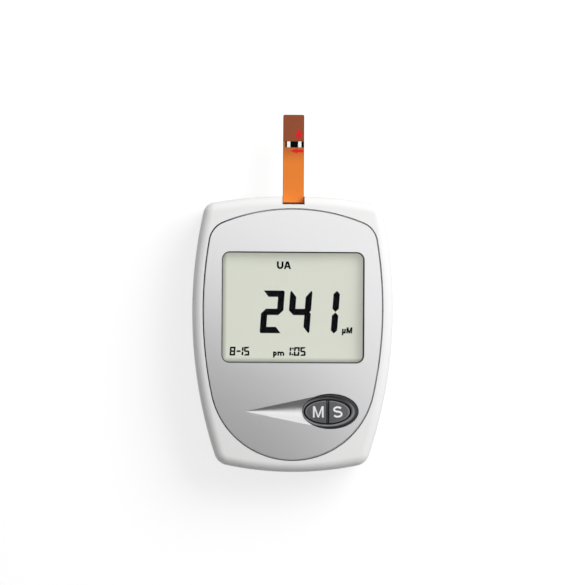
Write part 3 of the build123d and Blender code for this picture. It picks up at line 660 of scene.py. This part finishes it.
def letter_small_m(height, stroke):
    """Small m."""
    bay = 0.45 * height
    bend = bay / 2
    small = SMALL_LETTER * height
    edge = stroke / 2
    shapes = [slab(edge, 0, edge, small, stroke)]
    for step in (0, 1):
        start = edge + step * bay
        line = arc(start + bend, small - edge - bend, bend, bend, 180, 0, 8) + [(start + bay, 0)]
        shapes.append(ribbon(line, stroke))
    return shapes


# Letters on the display: shape, height, stroke and place, and whether it leans like the digits.
WORDS = (
    (letter_u, 2.45 * MM, 0.62 * MM, -5.15 * MM, TITLE_Y, False),
    (letter_a, 2.45 * MM, 0.62 * MM, -2.98 * MM, TITLE_Y, False),
    (letter_micro, 1.95 * MM, 0.52 * MM, 15.7 * MM, UNIT_Y, True),
    (letter_m, 1.95 * MM, 0.50 * MM, 17.1 * MM, UNIT_Y, True),
    (letter_p, 1.85 * MM, 0.50 * MM, -6.2 * MM, ROW_Y, False),
    (letter_small_m, 1.85 * MM, 0.48 * MM, -4.8 * MM, ROW_Y, False),
)


def drop_shape(height, radius):
    """Drop with a round lower end, whose sides run tangent to its tip."""
    tangent = math.degrees(math.asin(radius / (height - radius)))
    right = arc(0, radius, radius, radius, -90, tangent, 16)
    return [((-x, y), (x, y)) for x, y in right] + [((0, height), (0, height))]


def arrow_shapes(reach):
    """Head and shaft of an arrow that points to the left; the shaft starts inside the head."""
    head = 2.4 * MM
    half, shaft = 0.82 * MM, 0.42 * MM
    start = head * 0.8
    return [
        [((0, 0), (0, 0)), ((head, half), (head, -half))],
        [((start, shaft), (start, -shaft)), ((reach, shaft), (reach, -shaft))],
    ]


# ---------------------------------------------------------------------------------------
# Finishes
# ---------------------------------------------------------------------------------------


def moulded(name, tint, grain, rise, roughness, seam=None):
    """Moulded plastic with a fine even texture and faint flow marks.

    A seam shade colour, where one is given, is painted shade on the floor of the gap round the silver panel,
    at its left and bottom.
    """
    finish = Finish(name)
    spots = finish.noise(grain)
    flow = finish.noise(9 * MM, detail=3.0)
    base = finish.blend(flow, toned(tint, 0.97), tint)
    if seam is not None:
        # Painted shade in the gap round the silver panel.
        base = finish.blend(painted_gap_shade(finish), base, seam)
    rough = around(around(roughness, 0.10, spots), 0.05, flow)
    return finish.plain(Base_Color=base, Roughness=rough, Normal=finish.bump(spots, rise))


def painted_gap_shade(finish):
    """Mask of painted shade on the floor of the gap round the silver panel: full at its left, weaker along
    its bottom.
    """
    shallow, deep = (0.6 * MM, 0.8 * MM), (1.8 * MM, 2.0 * MM)
    facing_up = (0.90, 0.95)
    left_end, lower_end = (-24 * MM, -10 * MM), (-34 * MM, -14 * MM)
    lower_share = 0.75
    x, y, z = (finish.along(axis) for axis in "XYZ")
    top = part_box("front_panel")[1].z - x * x / (2 * CROWN_ACROSS) - y * y / (2 * CROWN_ALONG)
    depth = top - z
    floor = depth.above(*shallow) * (1.0 - depth.above(*deep))
    floor = floor * finish.along("Z", "Normal").above(*facing_up)
    # Only the left and bottom, which the lamp at the upper right leaves darker: painted shade.
    left = 1.0 - x.above(*left_end)
    bottom = lower_share - lower_share * y.above(*lower_end)
    return floor * left.maximum(bottom)


def metal(name, tint, roughness, stretch=EVEN):
    """Plated metal with fine marks, drawn out by the stretch."""
    finish = Finish(name)
    marks = finish.noise(0.25 * MM, 3.0, stretch)
    cloud = finish.noise(4 * MM)
    return finish.plain(
        Base_Color=finish.blend(cloud, toned(tint, 0.88), tint), Metallic=1.0,
        Roughness=around(roughness, 0.16, marks), Normal=finish.bump(marks, 0.004 * MM))


def silver_paint(settings):
    """Silver paint: small bright and dull flakes under a thin clear coat."""
    finish = Finish("silver_paint")
    flakes = finish.cells(settings.flake)
    cloud = finish.noise(14 * MM)
    base = finish.blend(flakes * 0.8 + cloud * 0.2, settings.shade, settings.silver)
    rough = around(settings.roughness, 0.03, flakes)
    return finish.plain(
        Base_Color=base, Metallic=settings.metal, Roughness=rough, Coat_Weight=0.15, Coat_Roughness=0.22)


def clear_lens():
    """Clear acrylic that lets the lamp's and the display's light through."""
    finish = Finish("clear_lens")
    smears = finish.noise(6 * MM, detail=3.0)
    glass = finish.surface(
        Base_Color=(0.97, 0.98, 0.97), Transmission_Weight=1.0, IOR=1.1, Roughness=0.015 + smears * 0.02)
    passing = finish.ray("Shadow").maximum(finish.ray("Diffuse"))
    open_air = finish.node("ShaderNodeBsdfTransparent", None, {"Color": rgba((0.95, 0.96, 0.95))})
    return finish.end(finish.node("ShaderNodeMixShader", None, {0: passing, 1: glass, 2: open_air}))


def display_face(settings, middle, wide, tall):
    """Polariser over the reflector: matt, faintly grainy grey-green, with painted shade along its left and
    lower edge and a glow that is painted light.
    """
    finish = Finish("display_face")
    grain = finish.noise(0.09 * MM)
    cloud = finish.noise(16 * MM)
    base = finish.blend(grain * 0.6 + cloud * 0.4, toned(settings.face, 0.95), settings.face)
    # Painted shade of the window's edge along the face's left and lower edge.
    left = (middle.x - finish.along("X")).above(wide / 2 - settings.fade, wide / 2)
    bottom = (middle.y - finish.along("Y")).above(tall / 2 - settings.fade, tall / 2)
    edge = left.maximum(bottom) * settings.edge_shade_depth
    return finish.plain(
        Base_Color=finish.blend(edge, base, PAINTED_SHADE_BLACK), Roughness=0.42 + grain * 0.12,
        Normal=finish.bump(grain, 0.001 * MM), Specular_IOR_Level=0.2,
        # Painted light: an even glow on the face, dimmed along the painted shade at its left and lower edge.
        Emission_Color=finish.blend(edge, settings.glow, PAINTED_SHADE_BLACK), Emission_Strength=1.0)


def ink(name, tint, roughness, **more):
    """Printed ink, slightly uneven."""
    finish = Finish(name)
    spots = finish.noise(0.18 * MM, detail=3.0)
    return finish.plain(
        Base_Color=finish.blend(spots, toned(tint, 0.93), tint), Roughness=around(roughness, 0.1, spots),
        Normal=finish.bump(spots, 0.002 * MM), **more)


def from_middle(finish, middle, across, along):
    """0 in the middle of an oval and 1 on its edge."""
    x = (finish.along("X") - middle.x) / across
    y = (finish.along("Y") - middle.y) / along
    return (x * x + y * y) ** 0.5


def speckled_key(settings, middle):
    """Grey cap with fine light and dark specks, a painted highlight along its rounded edge and a skirt
    painted black as shade.
    """
    # Bands of the cap's outline for the painted edge highlight and the painted skirt shade.
    edge, skirt_shade = (0.90, 0.95), (0.985, 1.0)
    finish = Finish("key_grey")
    specks = finish.cells(settings.speckle)
    soft = finish.noise(2 * settings.speckle)
    # Dark and light specks, and the painted highlight's colour.
    dark, light, rim = (toned(settings.cap, share) for share in (0.78, 1.28, 2.0))
    base = finish.blend(specks * 0.6 + soft * 0.4, dark, light)
    across = settings.opening_length - settings.gap
    along = settings.opening_width - settings.gap
    reach = from_middle(finish, middle, across, along)
    # Painted highlight on the rounded edge.
    base = finish.blend(reach.above(*edge), base, rim)
    # Painted shade: the skirt in the gap beside the collar is black.
    base = finish.blend(reach.above(*skirt_shade), base, PAINTED_SHADE_BLACK)
    return finish.plain(
        Base_Color=base, Roughness=around(0.42, 0.12, soft), Normal=finish.bump(soft, 0.006 * MM))


def collar_plastic(settings, middle):
    """Dark collar: a painted highlight on the bevel round the keys, painted shade in black in the gap beside
    them, grey between them.
    """
    between, gap, bevel = (0.86, 0.90), (0.995, 1.025), (1.06, 1.20)
    finish = Finish("collar_grey")
    reach = from_middle(finish, middle, settings.opening_length, settings.opening_width)
    # Painted highlight on the bevel.
    base = finish.blend(reach.above(*bevel), settings.bevel, settings.collar)
    # Painted shade: black in the gap beside the keys.
    base = finish.blend(reach.above(*gap), PAINTED_SHADE_BLACK, base)
    base = finish.blend(reach.above(*between), settings.cap, base)
    grain = finish.noise(0.3 * MM)
    return finish.plain(
        Base_Color=base, Roughness=0.26 + grain * 0.08, Normal=finish.bump(grain, 0.003 * MM))


def cut_edge_shade(finish, half):
    """Mask of painted shade along the two cut edges of the strip, which lie at half its width: 1 there."""
    return abs(finish.along("X")).above(half - 0.30 * MM, half - 0.08 * MM)


def strip_carrier(settings):
    """Orange carrier that turns brown under the reaction window, with painted shade at its cut edges and a
    painted shadow where it enters the port.
    """
    finish = Finish("strip_carrier")
    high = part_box("strip_base")[1]
    row_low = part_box("strip_pads")[0].y
    turns_brown = (row_low - 5.6 * MM, row_low + 0.4 * MM)
    # Painted shadow: the band where the strip enters the port, and dark below it.
    port_shadow = (high.y - 28.1 * MM, high.y - 27.85 * MM)
    y = finish.along("Y")
    umber = [0.45 * first + 0.55 * second for first, second in zip(settings.orange, settings.brown)]
    base = finish.blend(y.above(*turns_brown), settings.orange, umber)
    foot = 1.0 - y.above(*port_shadow)
    # Painted shade at the cut edges and the painted port shadow.
    base = finish.blend(foot.maximum(cut_edge_shade(finish, high.x) * 0.55), base, toned(settings.brown, 0.35))
    fibre = finish.noise(0.3 * MM, detail=3.0)
    return finish.plain(
        Base_Color=base, Roughness=0.36 + fibre * 0.12, Normal=finish.bump(fibre, 0.002 * MM),
        Specular_IOR_Level=0.3)


def strip_cover(settings):
    """Tinted cover film with painted shade at its cut edges."""
    finish = Finish("strip_cover")
    cloud = finish.noise(3 * MM)
    base = finish.blend(cloud, toned(settings.brown, 0.92), toned(settings.brown, 1.1))
    edge = cut_edge_shade(finish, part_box("strip_film")[1].x)
    base = finish.blend(edge * 0.6, base, toned(settings.brown, 0.3))
    return finish.plain(Base_Color=base, Roughness=0.24 + cloud * 0.08, Specular_IOR_Level=0.35)


def solder_mask(settings):
    """Green lacquer over copper tracks, whose raised lines show as lighter stripes."""
    finish = Finish("solder_mask")
    tracks = {
        "Vector": finish.spot(), "Scale": 260.0, "Mortar Size": 0.06, "Mortar Smooth": 0.3,
        "Brick Width": 1.4, "Row Height": 0.35,
    }
    steps = finish.node("ShaderNodeTexBrick", {"offset": 0.5}, tracks, "Fac")
    return finish.plain(
        Base_Color=finish.blend(steps, settings.mask, toned(settings.mask, 2.1)),
        Roughness=0.30 + 0.08 * finish.noise(0.5 * MM), Normal=finish.bump(steps, 0.03 * MM))


def cell_sleeve(settings, name, flat_x, tip_x):
    """Printed sleeve of one cell: dark, with a band and a thin line at the positive end."""
    band_start, line_start, line_end = (0.70, 0.705), (0.66, 0.664), (0.675, 0.679)
    finish = Finish(name)
    reach = (finish.along("X") - flat_x) / (tip_x - flat_x)
    band = reach.above(*band_start)
    line = reach.above(*line_start) * (1.0 - reach.above(*line_end))
    marks = finish.noise(0.4 * MM, detail=3.0)
    return finish.plain(
        Base_Color=finish.blend(band.maximum(line), settings.jacket, settings.band),
        Metallic=0.25 + band * 0.5, Roughness=0.26 + marks * 0.1, Normal=finish.bump(marks, 0.003 * MM))


# ---------------------------------------------------------------------------------------
# Operators
# ---------------------------------------------------------------------------------------


class METER_OT_case(Operator):
    """Satin white shells and battery door, and plated screws"""
    bl_idname = "meter.case"
    bl_label = "Case"

    def execute(self, context):
        settings = context.scene.meter_case
        white = (settings.white, settings.grain, settings.grain_height, settings.roughness)
        # The front shell carries painted shade in the gap round the silver panel.
        dress(moulded("front_shell", *white, settings.seam), "front_housing")
        dress(moulded("case_white", *white), "rear_housing", "battery_door")
        dress(metal("zinc_plate", settings.screw, 0.30), "case_screws")
        return {"FINISHED"}


class METER_OT_panel(Operator):
    """Silver paint on the front panel, and its clear lens"""
    bl_idname = "meter.panel"
    bl_label = "Panel and lens"

    def execute(self, context):
        dress(silver_paint(context.scene.meter_panel), "front_panel")
        dress(clear_lens(), "window_lens")
        return {"FINISHED"}


class METER_OT_display(Operator):
    """Display stack: polariser, segments, glass, reflector, foam and holder"""
    bl_idname = "meter.display"
    bl_label = "Display"

    def execute(self, context):
        settings = context.scene.meter_display
        black = context.scene.meter_inside.black
        foam = (0.12, 0.12, 0.12)
        self.add_polariser(settings)
        self.add_readings(settings)
        dress(moulded("display_glass", settings.face, *GLASS), "lcd_glass")
        dress(moulded("reflector", settings.face, *REFLECTOR), "lcd_reflector")
        dress(moulded("foam", foam, *FOAM), "lcd_gasket", "zebra_strips")
        dress(moulded("display_holder", black, *HOLDER), "lcd_frame")
        return {"FINISHED"}

    def add_polariser(self, settings):
        """Film with rounded corners on the front glass, just inside the window."""
        low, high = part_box("window_lens")
        inset = LENS_LAP + settings.margin
        left, right = low.x + inset, high.x - inset
        bottom, top = low.y + inset, high.y - inset
        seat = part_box("lcd_glass")[1].z
        corners = (
            (right - FILM_CORNER, top - FILM_CORNER, 0),
            (left + FILM_CORNER, top - FILM_CORNER, 90),
            (left + FILM_CORNER, bottom + FILM_CORNER, 180),
            (right - FILM_CORNER, bottom + FILM_CORNER, 270),
        )
        rim = []
        for x, y, start in corners:
            rim += arc(x, y, FILM_CORNER, FILM_CORNER, start, start + 90, 6)
        form = bmesh.new()
        face = form.faces.new([form.verts.new((x, y, seat)) for x, y in rim])
        grown = bmesh.ops.extrude_face_region(form, geom=[face])
        upper = [part for part in grown["geom"] if isinstance(part, bmesh.types.BMVert)]
        bmesh.ops.translate(form, verts=upper, vec=(0, 0, settings.film))
        edges = [edge for edge in form.edges if all(vert in upper for vert in edge.verts)]
        bmesh.ops.bevel(form, geom=edges, offset=FILM_BEVEL, segments=2, affect="EDGES")
        bmesh.ops.recalc_face_normals(form, faces=form.faces)
        middle = Vector((left + right, bottom + top)) / 2
        finish = display_face(settings, middle, right - left, top - bottom)
        add_piece("display_film", mesh_from(form, "display_film"), finish, "meter")

    def add_readings(self, settings):
        """Large digits, small digits and units."""
        finish = ink("display_ink", settings.ink, 0.35, Specular_IOR_Level=0.0)
        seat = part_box("lcd_glass")[1].z + settings.film
        wide, tall, stroke = settings.digit_width, settings.digit_height, settings.digit_stroke
        pitch, slant = settings.digit_pitch, settings.slant
        size = (wide * SMALL * SMALL_WIDTH, tall * SMALL, stroke * SMALL * SMALL_STROKE)
        large = digits(settings.reading, READING_X, READING_Y, wide, tall, stroke, pitch, slant)
        small = digits(settings.date, DATE_X, ROW_Y, *size, DATE_PITCH, slant)
        small += digits(settings.time, TIME_X, ROW_Y, *size, TIME_PITCH, slant)
        words = []
        for letter, height, width, x, y, leans in WORDS:
            words += moved(letter(height, width), x, y, slant if leans else 0.0)

        def level(x, y):
            return seat

        for name, shapes in (("reading_digits", large), ("date_and_time", small), ("reading_words", words)):
            mesh = ink_mesh(name, shapes, level, sink=0.0, step=math.inf)
            add_piece(name, mesh, finish, "meter")


class METER_OT_keys(Operator):
    """Collar, speckled keys with their letters, and tact switches"""
    bl_idname = "meter.keys"
    bl_label = "Keys"

    def execute(self, context):
        settings = context.scene.meter_keys
        black = context.scene.meter_inside.black
        middle = (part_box("button_m")[0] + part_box("button_s")[1]) / 2
        dress(collar_plastic(settings, middle), "button_collar")
        dress(speckled_key(settings, middle), "button_m", "button_s")
        dress(moulded("switch_black", black, *FINE), "switch_bodies", "switch_plunger_m", "switch_plunger_s")
        finish = ink("key_print", settings.letter, 0.4)
        height = settings.letter_height
        for key, letter, shift in (("m", letter_m, 0.82 * MM), ("s", letter_s, -0.55 * MM)):
            low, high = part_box(f"button_{key}")
            shapes = letter(height, settings.stroke)
            wide = max(point[0] for shape in shapes for row in shape for point in row)
            shapes = moved(shapes, (low.x + high.x - wide) / 2 + shift, middle.y - height / 2)
            mesh = ink_mesh(f"letter_{key}", shapes, resting_on(f"button_{key}"))
            add_piece(f"letter_{key}", mesh, finish, f"key_{key}")
        return {"FINISHED"}


class METER_OT_strip(Operator):
    """Test strip with its reaction window, drop and arrow, and the port's gold springs"""
    bl_idname = "meter.strip"
    bl_label = "Test strip and port"

    def execute(self, context):
        settings = context.scene.meter_strip
        inside = context.scene.meter_inside
        carbon = (0.003, 0.003, 0.003)
        dress(strip_carrier(settings), "strip_base")
        dress(strip_cover(settings), "strip_film")
        dress(ink("reagent_white", (0.98, 0.98, 0.97), 0.75), "strip_pads")
        dress(ink("carbon_ink", carbon, 0.6, Specular_IOR_Level=0.02), "strip_electrodes")
        dress(moulded("port_black", inside.black, *FINE), "strip_port")
        dress(metal("gold_plate", inside.gold, 0.2), "strip_contacts")
        red = ink("strip_red", settings.red, 0.4, Specular_IOR_Level=0.2)
        drop = moved([drop_shape(settings.drop_height, settings.drop_radius)], DROP_X, DROP_Y)
        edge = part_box("strip_base")[1].x - ARROW_INSET
        arrow = moved(arrow_shapes(settings.arrow_length), edge - settings.arrow_length, ARROW_Y)
        for name, shapes, carrier in (
            ("strip_drop", drop, "strip_film"),
            ("strip_arrow", arrow, "strip_base"),
        ):
            add_piece(name, ink_mesh(name, shapes, resting_on(carrier)), red, "strip")
        return {"FINISHED"}


class METER_OT_inside(Operator):
    """Boards, packages, sounder, cells and contacts"""
    bl_idname = "meter.inside"
    bl_label = "Boards and cells"

    def execute(self, context):
        settings = context.scene.meter_inside
        drawn_out = (6.0, 1.0, 1.0)
        dress(solder_mask(settings), "main_board", "code_key_board")
        dress(moulded("package_black", settings.black, *PACKAGE), "board_chips", "buzzer")
        dress(metal("nickel_plate", settings.nickel, 0.24, drawn_out),
              "battery_terminals", "battery_bridge", "contact_plus", "contact_minus")
        for row in ("lower", "upper"):
            low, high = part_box(f"battery_{row}")
            flat, tip = (low.x, high.x) if row == "lower" else (high.x, low.x)
            dress(cell_sleeve(settings, f"cell_{row}", flat, tip), f"battery_{row}")
        return {"FINISHED"}


class METER_OT_code_key(Operator):
    """Code key and its socket"""
    bl_idname = "meter.code_key"
    bl_label = "Code key"

    def execute(self, context):
        black = context.scene.meter_inside.black
        grey = (0.27, 0.29, 0.32)
        dress(moulded("code_key_grey", grey, *CODE_KEY), "code_key_body")
        dress(moulded("socket_black", black, *FINE), "code_socket")
        return {"FINISHED"}


class METER_OT_stage(Operator):
    """Pale floor, dark card, soft lamp, surrounding light and camera"""
    bl_idname = "meter.stage"
    bl_label = "Stage"

    def execute(self, context):
        settings = context.scene.meter_stage
        self.add_floor(settings)
        self.add_card(settings)
        self.add_lamp(settings)
        self.add_sky(settings)
        self.add_camera(settings)
        return {"FINISHED"}

    def add_floor(self, settings):
        """Pale floor just under the meter: it keeps the shadow, and looks nearly white."""
        form = bmesh.new()
        bmesh.ops.create_circle(form, cap_ends=True, segments=FLOOR_SIDES, radius=FLOOR_RADIUS)
        bmesh.ops.translate(form, verts=form.verts, vec=(0, 0, -FLOOR_DROP))
        finish = Finish("floor_paper")
        paper = finish.surface(Base_Color=settings.floor, Roughness=0.9, Specular_IOR_Level=0.0)
        glow = {"Color": rgba(WHITE), "Strength": finish.seen() * settings.lift}
        lift = finish.node("ShaderNodeEmission", None, glow)
        mesh = mesh_from(form, "floor")
        mesh.materials.append(finish.end(finish.node("ShaderNodeAddShader", None, {0: paper, 1: lift})))
        in_scene("floor", mesh)

    def add_card(self, settings):
        """Card that the silver panel reflects: faintly lit near the meter and black further off."""
        form = bmesh.new()
        form.faces.new([form.verts.new((x, y, CARD_HEIGHT)) for x, y in CARD_CORNERS])
        finish = Finish("card_black")
        glow = finish.blend(finish.along("Y").above(*CARD_FADE), UNLIT, (settings.card,) * 3)
        mesh = mesh_from(form, "card")
        mesh.materials.append(finish.plain(
            Base_Color=(0.02, 0.02, 0.02), Roughness=0.9, Emission_Color=glow, Emission_Strength=1.0))
        card = in_scene("card", mesh)
        card.visible_camera = False

    def add_lamp(self, settings):
        """Soft lamp at the upper right, which mirrors don't show."""
        light = bpy.data.lights.new("soft_lamp", "AREA")
        light.energy = settings.lamp_power
        light.shape = "SQUARE"
        light.size = settings.lamp_side
        lamp = in_scene("soft_lamp", light)
        lamp.location = LAMP_PLACE
        lamp.rotation_euler = (-lamp.location).to_track_quat("-Z", "Y").to_euler()
        lamp.visible_camera = False
        lamp.visible_glossy = False

    def add_sky(self, settings):
        """Plain surrounding light: white to the camera, a little darker low down in mirrors."""
        world = bpy.data.worlds.new("sky")
        bpy.context.scene.world = world
        finish = Finish("sky", world)
        dome = settings.rim + (1.0 - settings.rim) * finish.along("Z").above(*SKY_BRIGHTENS)
        shown = dome.maximum(finish.ray("Camera"))
        strength = settings.sky + finish.seen() * (shown - settings.sky)
        light = finish.node("ShaderNodeBackground", None, {"Color": rgba(WHITE), "Strength": strength})
        finish.end(light, "ShaderNodeOutputWorld")

    def add_camera(self, settings):
        """Long lens nearly straight above the display."""
        camera = bpy.data.cameras.new("camera")
        camera.sensor_width = SENSOR_WIDTH
        camera.lens = camera.sensor_width * settings.distance / settings.span
        camera.clip_start = 0.05
        camera.clip_end = 20.0
        view = in_scene("camera", camera)
        back = Vector((-math.sin(settings.turn), 0.0, math.cos(settings.turn)))
        view.location = Vector(CAMERA_AIM) * MM + back * settings.distance
        view.rotation_euler = (0.0, -settings.turn, settings.roll)
        bpy.context.scene.camera = view
        bpy.context.scene.view_settings.view_transform = "Standard"


class METER_PT_dressing(Panel):
    """Lists the operators and the settings of each group"""
    bl_idname = "METER_PT_dressing"
    bl_label = "Glucose meter"
    bl_space_type = "VIEW_3D"
    bl_region_type = "UI"
    bl_category = "Meter"

    def draw(self, context):
        for operator in OPERATORS:
            self.layout.operator(operator.bl_idname)
        for name, group in GROUPS.items():
            box = self.layout.box()
            box.label(text=name.replace("meter_", "").capitalize())
            for setting in group.__annotations__:
                box.prop(getattr(context.scene, name), setting)


OPERATORS = (
    METER_OT_stage,
    METER_OT_case,
    METER_OT_panel,
    METER_OT_display,
    METER_OT_keys,
    METER_OT_strip,
    METER_OT_inside,
    METER_OT_code_key,
)


def register():
    for group in GROUPS.values():
        bpy.utils.register_class(group)
    for name, group in GROUPS.items():
        setattr(bpy.types.Scene, name, PointerProperty(type=group))
    for operator in OPERATORS:
        bpy.utils.register_class(operator)
    bpy.utils.register_class(METER_PT_dressing)


def unregister():
    bpy.utils.unregister_class(METER_PT_dressing)
    for operator in reversed(OPERATORS):
        bpy.utils.unregister_class(operator)
    for name, group in GROUPS.items():
        delattr(bpy.types.Scene, name)
        bpy.utils.unregister_class(group)


def main():
    """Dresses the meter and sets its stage."""
    register()
    bpy.ops.meter.stage()
    bpy.ops.meter.case()
    bpy.ops.meter.panel()
    bpy.ops.meter.display()
    bpy.ops.meter.keys()
    bpy.ops.meter.strip()
    bpy.ops.meter.inside()
    bpy.ops.meter.code_key()


if __name__ == "__main__":
    main()
